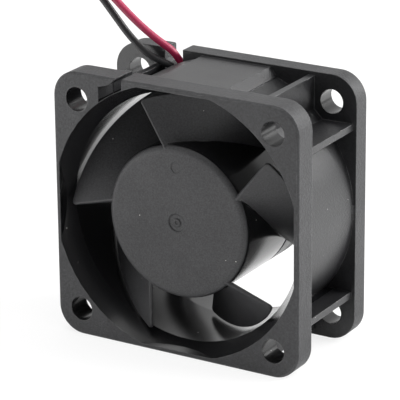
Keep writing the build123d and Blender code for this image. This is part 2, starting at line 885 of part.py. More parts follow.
# Solder on the board's back: one joint on each pin and one for each lead
with BuildPart() as solder_joints:
    with BuildSketch(station(board_rear)):
        with PolarLocations(pin_ring_radius, pole_count, start_angle=180 / pole_count):
            Circle(solder_radius)
            Circle(pin_radius, mode=Mode.SUBTRACT)
    extrude(amount=-pin_proud / 2)
    with BuildSketch(station(board_rear, channel_angle)):
        with Locations((solder_ring_radius, lead_offset), (solder_ring_radius, -lead_offset)):
            Circle(solder_radius)
    extrude(amount=-solder_height)
solder_joints.part.label = "solder_joints"
export_step(solder_joints.part, "parts/solder_joints.step")


def channel_point(radius, offset, depth):
    """Point beside the middle line of the leads' channel."""
    return station(depth, channel_angle).from_local_coords(Vector(radius, offset, 0))


def gap_point(place):
    """Point near the rear flange's gap, from its place left, in front and below."""
    leftwards, forwards, downwards = place
    return Vector(-leftwards, front + frame_depth - rear_flange - forwards, side - downwards)


def lead_path(points):
    """Straight runs joined by arcs, each as large as its two runs allow."""
    corners = [Vector(point) for point in points]
    radii = []
    for before, corner, after in zip(corners, corners[1:], corners[2:]):
        arrive = corner - before
        leave = after - corner
        half_turn = radians(arrive.get_angle(leave)) / 2
        radii.append(arc_share * min(arrive.length, leave.length) / tan(half_turn))
    with BuildLine() as route_line:
        FilletPolyline(*corners, radius=radii)
    path = route_line.wire()
    print("radii", [round(radius, 1) for radius in radii], "length", round(path.length, 1))
    return path


coil_inner = coil_outer_turn - 2 * lead_radius * (coil_rows - 1) - lead_radius - coil_slack / 2
coil_outer = coil_outer_turn + lead_radius + coil_slack / 2
coil_height = 2 * lead_radius * coil_layers + coil_slack
coil_exit = sqrt(coil_outer**2 - coil_outer_turn**2)

for colour, side_offset, gap, exit_gap, route, coil_base, tail_angle in (
    ("red", -lead_offset, red_gap, red_exit_gap, red_route, coil_height, red_tail_angle),
    ("black", lead_offset, black_gap, black_exit_gap, black_route, 0, black_tail_angle),
):
    # Stretch that the fan holds, from the board through the channel and the gap
    lead_start = solder_ring_radius + solder_radius + fit
    exit_point = gap_point(exit_gap)
    with BuildPart() as held_lead:
        held_path = lead_path(
            [
                channel_point(lead_start, side_offset, board_rear + lead_stand),
                channel_point(base_radius - window_bend, side_offset, lead_depth),
                channel_point(trench_floor + trench_bend, side_offset, lead_depth),
                gap_point(gap),
                exit_point,
            ]
        )
        with BuildSketch(Plane(origin=held_path @ 0, z_dir=held_path % 0)):
            Circle(lead_radius)
        sweep(path=held_path)
    held_lead.part.label = f"{colour}_held_lead"
    export_step(held_lead.part, f"parts/{colour}_held_lead.step")

    # Stored coil, lying flat beside the fan
    with BuildPart() as lead_coil:
        with BuildSketch(Plane.XY.offset(coil_base)):
            with Locations((coil_x, coil_y)):
                Circle(coil_outer)
                Circle(coil_inner, mode=Mode.SUBTRACT)
        extrude(amount=coil_height)
    lead_coil.part.label = f"{colour}_lead_coil"
    export_step(lead_coil.part, f"parts/{colour}_lead_coil.step")

    # Free stretch down to the coil, and the short tail that comes out of it again
    upper_turn = coil_base + coil_slack / 2 + 3 * lead_radius
    lower_turn = coil_base + coil_slack / 2 + lead_radius
    coil_entry = (coil_x - coil_outer_turn, coil_y, upper_turn)
    tail_out = Vector(-sin(radians(tail_angle)), cos(radians(tail_angle)), 0)
    tail_foot = Vector(
        coil_x + coil_outer_turn * cos(radians(tail_angle)),
        coil_y + coil_outer_turn * sin(radians(tail_angle)),
        lower_turn,
    )
    tail_drop = Vector(0, 0, lower_turn - lead_radius)
    tail_top = tail_foot + tail_out * (coil_exit + tail_bend)
    tail_landing = tail_top + tail_out * (tail_bend + tail_slope * tail_drop.length) - tail_drop
    tail_end = tail_landing + tail_out * tail_level
    with BuildPart() as free_lead:
        free_path = lead_path([exit_point, *route, coil_entry])
        with BuildSketch(Plane(origin=free_path @ 0, z_dir=free_path % 0)):
            Circle(lead_radius)
        sweep(path=free_path)
        tail_path = lead_path([tail_foot, tail_top, tail_landing, tail_end])
        with BuildSketch(Plane(origin=tail_path @ 0, z_dir=tail_path % 0)):
            Circle(lead_radius)
        sweep(path=tail_path)
        add(lead_coil.part, mode=Mode.SUBTRACT)
    free_lead.part.label = f"{colour}_lead"
    export_step(free_lead.part, f"parts/{colour}_lead.step")

    # Bare, tinned end
    with BuildPart() as bare_tip:
        with BuildSketch(Plane(origin=tail_end, z_dir=tail_out)):
            Circle(tip_radius)
        extrude(amount=tip_length)
        fillet(bare_tip.edges().filter_by(GeomType.CIRCLE).sort_by(Axis.X)[-1], tip_radius / 2)
    bare_tip.part.label = f"{colour}_lead_tip"
    export_step(bare_tip.part, f"parts/{colour}_lead_tip.step")
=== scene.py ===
# %% [markdown]
# # A small cooling fan
#
# The fan is a square plastic frame with a round duct in it. A five-bladed impeller turns in the
# duct, on a motor that sits inside its hub. Its solids come from CAD, already in place and in
# metres, so this script only dresses them: it adds a camera, the two leads with their bare ends,
# and a material for every piece.

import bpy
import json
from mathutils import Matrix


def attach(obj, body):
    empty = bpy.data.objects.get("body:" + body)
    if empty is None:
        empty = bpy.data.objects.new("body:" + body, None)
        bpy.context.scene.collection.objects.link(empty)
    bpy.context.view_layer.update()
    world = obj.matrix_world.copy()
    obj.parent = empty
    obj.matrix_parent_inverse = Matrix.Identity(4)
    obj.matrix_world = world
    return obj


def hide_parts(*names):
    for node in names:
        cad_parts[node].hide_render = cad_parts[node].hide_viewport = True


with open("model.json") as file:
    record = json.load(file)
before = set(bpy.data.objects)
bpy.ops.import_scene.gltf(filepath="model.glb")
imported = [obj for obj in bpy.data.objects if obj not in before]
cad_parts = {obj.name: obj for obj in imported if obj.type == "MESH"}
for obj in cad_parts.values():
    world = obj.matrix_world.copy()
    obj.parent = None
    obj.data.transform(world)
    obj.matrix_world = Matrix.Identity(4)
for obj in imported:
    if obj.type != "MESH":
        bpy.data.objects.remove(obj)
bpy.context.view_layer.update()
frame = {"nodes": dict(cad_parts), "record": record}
print("solids loaded:", len(frame["nodes"]))

# %% [markdown]
# ## Units
#
# Blender counts in metres, while a fan this small is measured in millimetres. Sizes are written
# in millimetres, and multiplied by MM where Blender needs metres.

# %% Units, and a helper that puts an object into the scene
import json
from math import cos, radians, sin

import bmesh
import bpy
from mathutils import Matrix, Vector

MM = 0.001
AXIS_HEIGHT = 20 * MM


def place_object(name, data):
    """An object in the scene, at the origin, for a mesh, a curve, a lamp or a camera."""
    placed = bpy.data.objects.new(name, data)
    bpy.context.scene.collection.objects.link(placed)
    return placed


print("the fan's axis lies", round(AXIS_HEIGHT / MM), "mm above the floor")

# %% [markdown]
# ## Camera
#
# The photograph was taken from the right and a little above, with a long lens, so the frame's
# edges stay almost parallel. The camera's place comes from the frame's own corners and screw
# holes in the photograph, whose real spacing is known. A long lens far away is kept rather
# than a short one close by, because it gives the same flat perspective.

# %% Directions of the camera
CAMERA_YAW = radians(31.26)
CAMERA_PITCH = radians(19.77)
CAMERA_ROLL = radians(-0.56)

backwards = Vector(
    (
        sin(CAMERA_YAW) * cos(CAMERA_PITCH),
        -cos(CAMERA_YAW) * cos(CAMERA_PITCH),
        sin(CAMERA_PITCH),
    )
)
level_right = Vector((cos(CAMERA_YAW), sin(CAMERA_YAW), 0))
level_up = backwards.cross(level_right)
right = level_right * cos(CAMERA_ROLL) + level_up * sin(CAMERA_ROLL)
up = level_up * cos(CAMERA_ROLL) - level_right * sin(CAMERA_ROLL)
print("the camera looks along", [round(-value, 3) for value in backwards])

# %% Make the camera
CAMERA_DISTANCE = 0.3815
CAMERA_LEFT = 1.5 * MM
CAMERA_UP = 0.5 * MM
SENSOR = 36.0
FOCAL_PIXELS = 2651.9
PHOTO_PIXELS = 400

camera_data = bpy.data.cameras.new("camera")
camera_data.sensor_width = SENSOR
camera_data.lens = FOCAL_PIXELS * SENSOR / PHOTO_PIXELS
camera = place_object("camera", camera_data)
place = Vector((0, 0, AXIS_HEIGHT)) + backwards * CAMERA_DISTANCE - right * CAMERA_LEFT + up * CAMERA_UP
turned = Matrix((right, up, backwards)).transposed().to_4x4()
camera.matrix_world = Matrix.Translation(place) @ turned
bpy.context.scene.camera = camera
print("lens:", round(camera_data.lens, 1), "mm")

# %% [markdown]
# ## Leads
#
# Two thin leads with plastic insulation leave the fan at its top left corner, where the web
# between the flanges is cut back. They rise past the edge of the photograph, bend over under
# their own weight and come down beside the fan, where the rest is wound into two neat coils,
# one on the other. A lead could be a mesh swept by hand, but a curve with a round bevel keeps
# its length and its smooth bends, and its few control points are easy to move.

# %% Points of the leads' routes, in millimetres
red_exit = (-11.8, 6.2, 40.83)
red_route = [
    (-13.31, 5.5, 42.06),
    (-16.4, 5.0, 44.6),
    (-20.0, 4.8, 47.8),
    (-24.3, 4.6, 51.2),
    (-29.8, 4.3, 53.6),
    (-36.2, 3.9, 53.9),
    (-42.4, 3.3, 51.4),
    (-47.4, 2.5, 46.6),
    (-50.6, 1.9, 40.2),
    (-52.1, 1.7, 32.8),
    (-52.4, 1.9, 25.0),
    (-52.2, 2.2, 18.0),
    (-52.0, 2.4, 12.6),
    (-51.9, 2.2, 9.2),
    (-51.6, 1.2, 6.8),
    (-51.3, -0.64, 4.96),
    (-51.1, -3.04, 3.98),
]
black_exit = (-12.2, 6.0, 38.2)
black_route = [
    (-13.75, 5.5, 38.9),
    (-16.57, 5.2, 41.3),
    (-19.0, 5.0, 44.2),
    (-21.9, 4.7, 47.7),
    (-26.0, 4.5, 50.9),
    (-31.3, 4.2, 52.4),
    (-37.0, 3.8, 51.6),
    (-42.2, 3.3, 48.4),
    (-46.2, 2.8, 43.6),
    (-48.9, 2.5, 37.7),
    (-50.3, 2.5, 30.8),
    (-50.9, 2.8, 23.6),
    (-51.1, 3.1, 16.4),
    (-51.1, 3.3, 10.6),
    (-51.1, 3.2, 6.9),
    (-51.1, 2.2, 4.5),
    (-51.1, 0.36, 2.66),
    (-51.1, -2.04, 1.68),
]
print("points on the way down:", len(red_route), "red and", len(black_route), "black")

# %% [markdown]
# ### Stored coils
#
# Each coil has two layers. The lead comes in at the outside, winds inwards on the upper layer,
# steps down, and winds outwards on the lower one, so that no turn has to cross another. All of
# these points belong to the lead's own curve. A lead's middle lies LAID_HEIGHT above what carries
# it, and turns and layers lie LAYER apart. The names that end in FROM say after how many turns
# each stretch begins. The short tail then runs on past the coil and comes down to the table.

# %% Turns of a stored coil, in millimetres and whole turns
LEAD_RADIUS = 0.55
LAID_HEIGHT = 0.6
LAYER = 1.1
COIL_X = -44.5
COIL_Y = -6.0
OUTER_TURN = 6.6
COIL_START = 180.0
COIL_STEPS = 16
WHOLE_TURNS = 5
INWARDS_FROM = 0.3
DOWN_FROM = 2.3
OUTWARDS_FROM = 2.7
OUTSIDE_FROM = 4.7


def between(value, low, high):
    """The value, kept between two bounds."""
    return min(max(value, low), high)


def point_round_coil(angle, radius, height):
    """A point at an angle round the coils' middle."""
    return (COIL_X + radius * cos(angle), COIL_Y + radius * sin(angle), height)


def coil_turns(base, tail_angle):
    """Points round a coil: inwards on its upper layer, then outwards on its lower one."""
    turns = WHOLE_TURNS + ((tail_angle - COIL_START) % 360) / 360
    count = round(turns * COIL_STEPS)
    points = []
    for step in range(count + 1):
        wound = turns * step / count
        inwards = between(wound, INWARDS_FROM, DOWN_FROM) - INWARDS_FROM
        outwards = between(wound, OUTWARDS_FROM, OUTSIDE_FROM) - OUTWARDS_FROM
        sunk = (between(wound, DOWN_FROM, OUTWARDS_FROM) - DOWN_FROM) / (OUTWARDS_FROM - DOWN_FROM)
        radius = OUTER_TURN - LAYER * (inwards - outwards)
        height = base + LAID_HEIGHT + LAYER * (1 - sunk)
        points.append(point_round_coil(radians(COIL_START + 360 * wound), radius, height))
    return points


print("inner turn:", round(OUTER_TURN - LAYER * (DOWN_FROM - INWARDS_FROM), 2), "mm in radius")

# %% Tail of a coil, in millimetres, and all the points of a lead
TAIL_RUN = 3.9
TAIL_BEND = 1.0
TAIL_SLOPE = 0.9
TAIL_END = 2.0


def lead_tail(base, tail_angle):
    """Points of the short tail that leaves a coil and comes down to the table."""
    angle = radians(tail_angle)
    out = Vector((-sin(angle), cos(angle), 0))
    foot = Vector(point_round_coil(angle, OUTER_TURN, base + LAID_HEIGHT))
    drop = base + LAID_HEIGHT - LEAD_RADIUS
    top = foot + out * TAIL_RUN
    landing = top + out * (TAIL_BEND + TAIL_SLOPE * drop) - Vector((0, 0, drop))
    return [tuple(top), tuple(landing), tuple(landing + out * TAIL_END)]


def lead_points(exit_point, route, base, tail_angle):
    """A lead's control points: its exit, its free stretch, its coil and its tail."""
    return [exit_point, *route, *coil_turns(base, tail_angle), *lead_tail(base, tail_angle)]


RED_COIL_BASE = 2.3
BLACK_COIL_BASE = 0.0
RED_TAIL_ANGLE = 258.0
BLACK_TAIL_ANGLE = 240.0

red_points = lead_points(red_exit, red_route, RED_COIL_BASE, RED_TAIL_ANGLE)
black_points = lead_points(black_exit, black_route, BLACK_COIL_BASE, BLACK_TAIL_ANGLE)
print("control points:", len(red_points), "red and", len(black_points), "black")

# %% [markdown]
# ### The leads as curves
#
# A NURBS spline passes smoothly between its control points, as a lead does that bends under its
# own weight. Blender adds each point's radius, which is 1 m at first, to the curve's bounding
# box, so the radius is made small here and the bevel larger by as much.

# %% Make the two leads
LEAD_DIAMETER = 1.1 * MM
POINT_RADIUS = 0.001


def lead_curve(name, points):
    """A round lead along a smooth spline whose control points are in millimetres."""
    data = bpy.data.curves.new(name, "CURVE")
    data.dimensions = "3D"
    data.bevel_depth = LEAD_DIAMETER / 2 / POINT_RADIUS
    data.bevel_resolution = 5
    data.resolution_u = 6
    data.use_fill_caps = True
    spline = data.splines.new("NURBS")
    spline.points.add(len(points) - 1)
    for control, point in zip(spline.points, points):
        control.co = (point[0] * MM, point[1] * MM, point[2] * MM, 1)
        control.radius = POINT_RADIUS
    spline.order_u = 3
    spline.use_endpoint_u = True
    print(name, "length:", round(spline.calc_length() / MM), "mm")
    return place_object(name, data)


red_cord = lead_curve("red_cord", red_points)
black_cord = lead_curve("black_cord", black_points)

# %% [markdown]
# ### Bare ends of the leads
#
# At its far end each lead is stripped, and its thin tinned strands are twisted together. A plain
# rod would do from afar, but close up the twist is what makes it wire. Each strand starts as a
# circle of edges. The circle is extruded in short steps, and each step also turns it a little
# about the bundle's middle, which winds the outer strands round the inner one.

# %% One twisted strand
TIP_RADIUS = 0.35 * MM
TIP_LENGTH = 5 * MM
STRAND_RADIUS = TIP_RADIUS / 3
STRAND_SIDES = 8
TWIST_STEPS = 24
TWIST_STEP = radians(15)


def add_strand(shape, offset, angle):
    """One strand along Z, twisted about the bundle's middle at an offset from it."""
    ring = bmesh.ops.create_circle(shape, segments=STRAND_SIDES, radius=STRAND_RADIUS)["verts"]
    bmesh.ops.translate(shape, verts=ring, vec=(offset, 0, 0))
    turned = Matrix.Rotation(angle, 3, "Z")
    bmesh.ops.rotate(shape, verts=ring, cent=(0, 0, 0), matrix=turned)
    edges = list({edge for vert in ring for edge in vert.link_edges})
    twist = Matrix.Rotation(TWIST_STEP, 3, "Z")
    for _ in range(TWIST_STEPS):
        made = bmesh.ops.extrude_edge_only(shape, edges=edges)["geom"]
        ring = [item for item in made if isinstance(item, bmesh.types.BMVert)]
        edges = [item for item in made if isinstance(item, bmesh.types.BMEdge)]
        bmesh.ops.translate(shape, verts=ring, vec=(0, 0, TIP_LENGTH / TWIST_STEPS))
        bmesh.ops.rotate(shape, verts=ring, cent=(0, 0, 0), matrix=twist)


print("a strand is", round(2 * STRAND_RADIUS / MM, 2), "mm thick")

# %% The bundle of strands at the end of a lead
OUTER_STRANDS = 6


def strand_bundle(name, points):
    """The bare strands past the last point of a lead, in line with its end."""
    before, last = (Vector(point) * MM for point in points[-2:])
    shape = bmesh.new()
    add_strand(shape, 0, 0)
    for index in range(OUTER_STRANDS):
        add_strand(shape, 2 * STRAND_RADIUS, index * radians(360 / OUTER_STRANDS))
    bmesh.ops.holes_fill(shape, edges=shape.edges, sides=0)
    bmesh.ops.recalc_face_normals(shape, faces=shape.faces)
    aimed = (last - before).to_track_quat("Z", "Y").to_matrix().to_4x4()
    bmesh.ops.transform(shape, matrix=Matrix.Translation(last) @ aimed, verts=shape.verts)
    for face in shape.faces:
        face.smooth = len(face.verts) == 4
    mesh = bpy.data.meshes.new(name)
    shape.to_mesh(mesh)
    shape.free()
    print(name, "faces:", len(mesh.polygons))
    return place_object(name, mesh)


red_strands = strand_bundle("red_bare_strands", red_points)
black_strands = strand_bundle("black_bare_strands", black_points)

# %% [markdown]
# ### What the leads are
#
# A lead is limp. Both leads are held in the frame, so they ride with it, and each stands for the
# plain solids that CAD gave it, which are hidden.

# %% Hang the leads on the frame, and hide their CAD solids
for colour, lead, strands, exit_point in (
    ("red", red_cord, red_strands, red_exit),
    ("black", black_cord, black_strands, black_exit),
):
    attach(strands, "frame")
    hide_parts(f"{colour}_lead_tip")
    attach(lead, "frame")
    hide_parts(f"{colour}_lead", f"{colour}_lead_coil")
    print(lead.name, "is a limp lead with", strands.name, "on its end")

# %% [markdown]
# ## Shader groups
#
# Moulded plastic is never one flat colour: its skin has a fine grain, its edges are rubbed a
# little paler, and handling leaves faint smooth patches. The pale edges are also painted
# highlights, and the smooth walls get painted shade. These effects come back in most of the
# materials, so each is a node group, built once, whose inputs let a material choose its own size
# and strength. The helpers below make a node and feed its inputs in one line. They take either a
# constant or the output of another node, which keeps the wiring readable.


# %% Helpers that make and feed nodes
def feed(tree, socket, value):
    """Link an input to another node's output, or set it to a constant."""
    if isinstance(value, bpy.types.NodeSocket):
        tree.links.new(value, socket)
    else:
        socket.default_value = value


def add_node(tree, kind, *values, **settings):
    """A node of one kind. The values feed its first inputs, in order, and the rest go by name."""
    node = tree.nodes.new(kind)
    for name, value in settings.items():
        if hasattr(node, name):
            setattr(node, name, value)
        else:
            feed(tree, node.inputs[name.replace("_", " ")], value)
    for socket, value in zip(node.inputs, values):
        feed(tree, socket, value)
    return node


def number(tree, operation, *values, **settings):
    """The result of a Math node."""
    return add_node(tree, "ShaderNodeMath", *values, operation=operation, **settings).outputs["Value"]


def vector(tree, operation, *values, **settings):
    """The result of a Vector Math node, which is a number for a length, distance or dot product."""
    node = add_node(tree, "ShaderNodeVectorMath", *values, operation=operation, **settings)
    return node.outputs["Value" if operation in ("LENGTH", "DISTANCE", "DOT_PRODUCT") else "Vector"]


# %% Helpers that start and finish a group
def start_group(name, inputs, outputs):
    """A new shader group, the sockets that its nodes read, and the sockets that they fill."""
    group = bpy.data.node_groups.new(name, "ShaderNodeTree")
    for socket_name, value in inputs.items():
        socket = group.interface.new_socket(socket_name, in_out="INPUT", socket_type="NodeSocketFloat")
        socket.default_value = value
    for socket_name, kind in outputs.items():
        group.interface.new_socket(socket_name, in_out="OUTPUT", socket_type=kind)
    given = group.nodes.new("NodeGroupInput").outputs
    result = group.nodes.new("NodeGroupOutput").inputs
    return group, given, result


def finish_group(group, result, **sockets):
    """Fill the group's outputs, and say how many nodes it took."""
    for name, socket in sockets.items():
        group.links.new(socket, result[name])
    print("group", group.name, "has", len(group.nodes), "nodes")


# %% [markdown]
# ### Grain
#
# A mould for such a fan is eroded by sparks, which leaves fine pits in the steel, and the plastic
# copies them. They could come from a picture or from a displaced mesh, but noise on Object
# coordinates needs no unwrapping and has the same size in millimetres on every piece. It gives a
# height for the relief and a tone, because pits look a little darker.


# %% Group: grain of an eroded mould
def object_place(tree):
    """The place of a point, in metres from the origin."""
    return add_node(tree, "ShaderNodeTexCoord").outputs["Object"]


def features_of(tree, size):
    """The scale of a texture whose features are some millimetres across."""
    return number(tree, "DIVIDE", 1 / MM, size)


def noise(tree, size, detail, roughness):
    """Noise over the piece, with features of one size in millimetres."""
    texture = add_node(
        tree,
        "ShaderNodeTexNoise",
        object_place(tree),
        Scale=features_of(tree, size),
        Detail=detail,
        Roughness=roughness,
    )
    return texture.outputs["Fac"]


NOISE_MIDDLE = 0.5

grain, given, result = start_group(
    "mould_grain",
    {"Size": 0.16, "Speckle": 0.12},
    {"Tone": "NodeSocketFloat", "Height": "NodeSocketFloat"},
)
pits = noise(grain, given["Size"], detail=3.0, roughness=0.62)
centred = number(grain, "SUBTRACT", pits, NOISE_MIDDLE)
tone = number(grain, "MULTIPLY_ADD", centred, given["Speckle"], 1.0)
finish_group(grain, result, Tone=tone, Height=pits)

# %% [markdown]
# ### Rubbed edges and painted edge highlights
#
# Sharp edges of black plastic go pale where they are rubbed, but not everywhere, and the same pale
# colour is also a painted highlight along the edges. The Bevel node gives the normal that the
# piece would have with rounded edges. Where it differs from the real normal there is an edge.
# Noise then breaks the pale line up, and the rounded normal goes on to the material, so that the
# edges also catch a thin line of light.


# %% Group: pale rubbed edges, which are also painted edge highlights
def map_range(tree, value, **bounds):
    """A value, stretched from one pair of bounds to another, which is 0 and 1 if not given."""
    return add_node(tree, "ShaderNodeMapRange", value, **bounds).outputs["Result"]


edge_rub_and_highlight, given, result = start_group(
    "pale_edges_and_painted_highlights",
    {"Amount": 0.5, "Width": 0.15, "Patch Size": 1.6},
    {"Mask": "NodeSocketFloat", "Normal": "NodeSocketVector"},
)
width = number(edge_rub_and_highlight, "MULTIPLY", given["Width"], MM)
rounded = add_node(edge_rub_and_highlight, "ShaderNodeBevel", width, samples=4).outputs["Normal"]
normal = add_node(edge_rub_and_highlight, "ShaderNodeNewGeometry").outputs["Normal"]
alike = vector(edge_rub_and_highlight, "DOT_PRODUCT", rounded, normal)
edge = map_range(edge_rub_and_highlight, alike, From_Min=0.985, From_Max=0.85)
patches = noise(edge_rub_and_highlight, given["Patch Size"], detail=4.0, roughness=0.6)
here = map_range(edge_rub_and_highlight, patches, From_Min=0.42, From_Max=0.62)
# The pale edge colour goes where this is high: rubbed wear and a painted highlight.
rub_and_highlight = number(edge_rub_and_highlight, "MULTIPLY", edge, here)
mask = number(edge_rub_and_highlight, "MULTIPLY", rub_and_highlight, given["Amount"], use_clamp=True)
finish_group(edge_rub_and_highlight, result, Mask=mask, Normal=rounded)

# %% [markdown]
# ### Handled patches
#
# Fingers, and the flow of the plastic in its mould, leave patches that shine a little more than
# their surroundings. They don't change the colour, so soft noise is spread between a low and a
# high roughness.

# %% Group: faint patches left by handling and by the flow of the plastic
handled, given, result = start_group(
    "handled_patches",
    {"Patch Size": 9.0, "Low": 0.42, "High": 0.55},
    {"Roughness": "NodeSocketFloat"},
)
clouds = noise(handled, given["Patch Size"], detail=5.0, roughness=0.55)
roughness = map_range(
    handled, clouds, From_Min=0.3, From_Max=0.7, To_Min=given["Low"], To_Max=given["High"]
)
finish_group(handled, result, Roughness=roughness)

# %% [markdown]
# ### Smooth walls of the frame, darkened as painted shade
#
# The steel cores that form the duct and the screw holes are polished, so that the moulding slides
# off them. The duct's wall therefore mirrors the room, and has the bright crescent and the dark
# stretches that the photograph shows. The slides that form the outside between the flanges are
# half polished. Separate materials would need the solids cut up, so a mask finds these walls by
# where they are: how far from the axis, which way they face, and between which flanges. The same
# mask also darkens their colour, fully in the duct and the holes and by half between the flanges,
# as painted shade.


# %% Helpers that find a place on the fan
def from_axis(tree):
    """The way from the fan's axis to a point, and how deep the point lies, in millimetres."""
    centring = add_node(tree, "ShaderNodeMapping", object_place(tree), Location=(0, 0, -AXIS_HEIGHT))
    in_mm = vector(tree, "SCALE", centring.outputs["Vector"], Scale=1 / MM)
    outwards = vector(tree, "MULTIPLY", in_mm, (1, 0, 1))
    depth = add_node(tree, "ShaderNodeSeparateXYZ", in_mm).outputs["Y"]
    return outwards, depth


def is_between(tree, value, lowest, highest):
    """1 where a value lies between two bounds, and 0 elsewhere."""
    above = number(tree, "GREATER_THAN", value, lowest)
    below = number(tree, "LESS_THAN", value, highest)
    return number(tree, "MULTIPLY", above, below)


# %% Group: smooth walls of the duct, of the screw holes and between the flanges, with painted shade
duct_polish_and_shade, given, result = start_group(
    "duct_wall_polish_and_painted_shade",
    {
        "From Radius": 17.5,
        "To Radius": 20.6,
        "Hole Offset": 16.0,
        "Hole Radius": 1.9,
        "Front Flange": -6.15,
        "Rear Flange": 6.85,
        "Between": 0.5,
    },
    {"Mask": "NodeSocketFloat"},
)
outwards, depth = from_axis(duct_polish_and_shade)
reach = vector(duct_polish_and_shade, "LENGTH", outwards)
ring = is_between(duct_polish_and_shade, reach, given["From Radius"], given["To Radius"])
direction = vector(duct_polish_and_shade, "NORMALIZE", outwards)
normal = add_node(duct_polish_and_shade, "ShaderNodeNewGeometry").outputs["Normal"]
facing = vector(duct_polish_and_shade, "DOT_PRODUCT", direction, normal)
inwards = map_range(duct_polish_and_shade, facing, From_Min=-0.1, From_Max=-0.4)
duct = number(duct_polish_and_shade, "MULTIPLY", ring, inwards)

quarter = vector(duct_polish_and_shade, "ABSOLUTE", outwards)
offset = given["Hole Offset"]
corner = add_node(duct_polish_and_shade, "ShaderNodeCombineXYZ", X=offset, Z=offset).outputs["Vector"]
apart = vector(duct_polish_and_shade, "DISTANCE", quarter, corner)
hole = number(duct_polish_and_shade, "LESS_THAN", apart, given["Hole Radius"])

gap = is_between(duct_polish_and_shade, depth, given["Front Flange"], given["Rear Flange"])
# Between the flanges the mask is half: half polish, and half the painted shade.
between_polish_and_shade = number(duct_polish_and_shade, "MULTIPLY", gap, given["Between"])
inner_polish_and_shade = number(duct_polish_and_shade, "MAXIMUM", duct, hole)
mask = number(duct_polish_and_shade, "MAXIMUM", inner_polish_and_shade, between_polish_and_shade)
finish_group(duct_polish_and_shade, result, Mask=mask)

# %% [markdown]
# ### Smooth walls of the impeller, darkened as painted shade
#
# The front of the hub is grained, and the blades almost as much. The hub's wall is polished, and
# mirrors the room as the duct does. The mask begins just behind the hub's face. It is full within
# the hub's radius, where only that wall shows, and weak on the blades further out. Where it is
# full it also darkens the colour, as painted shade on the hub's wall between the blades.

# %% Group: smooth hub wall and blades behind the hub's grained face, darkened as painted shade
blade_polish_and_shade, given, result = start_group(
    "blade_side_polish_and_painted_shade",
    {"Grained To": -9.0, "Smooth From": -8.6, "Hub Radius": 11.5, "Blades": 0.1},
    {"Mask": "NodeSocketFloat"},
)
outwards, depth = from_axis(blade_polish_and_shade)
behind = map_range(
    blade_polish_and_shade, depth, From_Min=given["Grained To"], From_Max=given["Smooth From"]
)
reach = vector(blade_polish_and_shade, "LENGTH", outwards)
wall = number(blade_polish_and_shade, "LESS_THAN", reach, given["Hub Radius"])
# Full on the hub's wall, weak on the blades: polish, and painted shade in the colour.
either = number(blade_polish_and_shade, "MAXIMUM", wall, given["Blades"])
mask = number(blade_polish_and_shade, "MULTIPLY", behind, either)
finish_group(blade_polish_and_shade, result, Mask=mask)

# %% [markdown]
# ### Gate groove
#
# The plastic enters the mould at the middle of the hub, and a shallow round groove there keeps
# what is left of the gate below the face. The solid has the groove with sharp sides, while the
# real one has soft lips that catch the light. A height that rises smoothly over each side softens
# them without a denser mesh.

# %% Group: eased edges of the round groove at the hub's gate mark
gate_groove, given, result = start_group(
    "gate_groove",
    {"Inner Radius": 0.6, "Outer Radius": 1.3, "Ease": 0.15},
    {"Height": "NodeSocketFloat"},
)
outwards, depth = from_axis(gate_groove)
reach = vector(gate_groove, "LENGTH", outwards)
rises = []
for side, sign in (("Inner Radius", -1), ("Outer Radius", 1)):
    past_side = number(gate_groove, "SUBTRACT", reach, given[side])
    eased = number(gate_groove, "DIVIDE", past_side, given["Ease"])
    rise = map_range(
        gate_groove, eased, From_Min=-sign, From_Max=sign, interpolation_type="SMOOTHSTEP"
    )
    rises.append(rise)
finish_group(gate_groove, result, Height=number(gate_groove, "MAXIMUM", *rises))

# %% [markdown]
# ### Dust
#
# Black plastic shows every speck of dust. Scattering real specks would add thousands of tiny
# meshes, so cells of a Voronoi texture give each speck a middle. The colour that each cell draws
# decides whether it has a speck at all, which keeps them few and uneven.

# %% Group: sparse pale specks of dust
dust, given, result = start_group(
    "dust_specks",
    {"Spacing": 1.6, "Size": 0.05, "Share": 0.2},
    {"Mask": "NodeSocketFloat"},
)
spacing = features_of(dust, given["Spacing"])
cells = add_node(dust, "ShaderNodeTexVoronoi", object_place(dust), Scale=spacing).outputs
near = number(dust, "LESS_THAN", cells["Distance"], given["Size"])
lot = add_node(dust, "ShaderNodeSeparateColor", cells["Color"]).outputs["Red"]
chosen = number(dust, "LESS_THAN", lot, given["Share"])
finish_group(dust, result, Mask=number(dust, "MULTIPLY", near, chosen))

# %% [markdown]
# ### Turned rings
#
# The shaft, the bearings and the sleeve are turned or ground, which leaves fine rings round the
# fan's axis. One row of noise does for all of them. It is read outwards on flat faces, and along
# the axis on round walls, where rings lie one behind the other. Drawn wire and the edges of
# stacked sheets use the second way as well.


# %% Group: rings that a lathe or a grinder leaves round the fan's axis
def blend(tree, kind, share, plain, other):
    """A number or colour, mixed with another. A Mix node has its own sockets for each kind."""
    first, second, result = {"FLOAT": (2, 3, 0), "RGBA": (6, 7, 2)}[kind]
    node = add_node(tree, "ShaderNodeMix", share, data_type=kind)
    feed(tree, node.inputs[first], plain)
    feed(tree, node.inputs[second], other)
    return node.outputs[result]


turned_rings, given, result = start_group(
    "turned_rings",
    {"Spacing": 0.08, "Along": 0.0},
    {"Height": "NodeSocketFloat", "Tone": "NodeSocketFloat"},
)
outwards, depth = from_axis(turned_rings)
reach = vector(turned_rings, "LENGTH", outwards)
way = blend(turned_rings, "FLOAT", given["Along"], reach, depth)
counted = number(turned_rings, "DIVIDE", way, given["Spacing"])
row = add_node(turned_rings, "ShaderNodeTexNoise", noise_dimensions="1D", W=counted, Detail=2.0)
lines = row.outputs["Fac"]
tone = map_range(turned_rings, lines, To_Min=0.9, To_Max=1.08)
finish_group(turned_rings, result, Height=lines, Tone=tone)

# %% [markdown]
# ## Materials
#
# Every finish on the fan is made here from those groups. What is the same all over a surface,
# such as the index of refraction, is set on the shader's own socket. What changes over it, which
# is colour, roughness and relief, comes through links.


